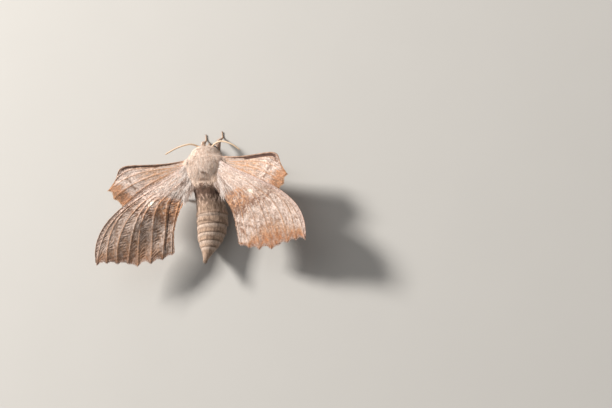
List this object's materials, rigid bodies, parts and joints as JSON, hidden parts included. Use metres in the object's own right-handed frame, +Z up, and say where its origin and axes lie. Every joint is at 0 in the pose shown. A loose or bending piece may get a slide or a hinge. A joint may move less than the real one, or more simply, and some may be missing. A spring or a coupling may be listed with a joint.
{
  "type": "poplar hawk moth model",
  "caption": "Life-size resting hawk moth: stout tapering body, scalloped forewings swept back, hindwings pushed out ahead of them, slender antennae.",
  "frame": {"origin": "centre of the bounding box on the floor, between the feet and under the belly", "axes": "+Z up, away from the floor on which the moth rests; +Y towards the moth's head; +X towards the moth's right wing, along the wing spread"},
  "size_m": [0.0654, 0.0434, 0.0184],
  "materials": {
    "thorax_fur": "dense buff fur",
    "head_fur": "dense buff fur",
    "abdomen_fur": "short beige-grey fur in rings",
    "forewing_scales": "matt scales in pinkish and brown bands",
    "hindwing_scales": "matt pale buff scales",
    "eye": "dark glossy lens surface",
    "palp_fur": "short brown fur",
    "antenna": "matt cream",
    "leg_scales": "matt tan scales"
  },
  "bodies": {
    "root": {"thorax": "thorax_fur", "head": "head_fur", "abdomen": "abdomen_fur", "forewing_left": "forewing_scales", "forewing_right": "forewing_scales", "hindwing_left": "hindwing_scales", "hindwing_right": "hindwing_scales", "eye_left": "eye", "eye_right": "eye", "palp_left": "palp_fur", "palp_right": "palp_fur", "antenna_left": "antenna", "antenna_right": "antenna", "leg_front_left": "leg_scales", "leg_front_right": "leg_scales", "leg_mid_left": "leg_scales", "leg_mid_right": "leg_scales", "leg_hind_left": "leg_scales", "leg_hind_right": "leg_scales"}
  },
  "joints": []
}
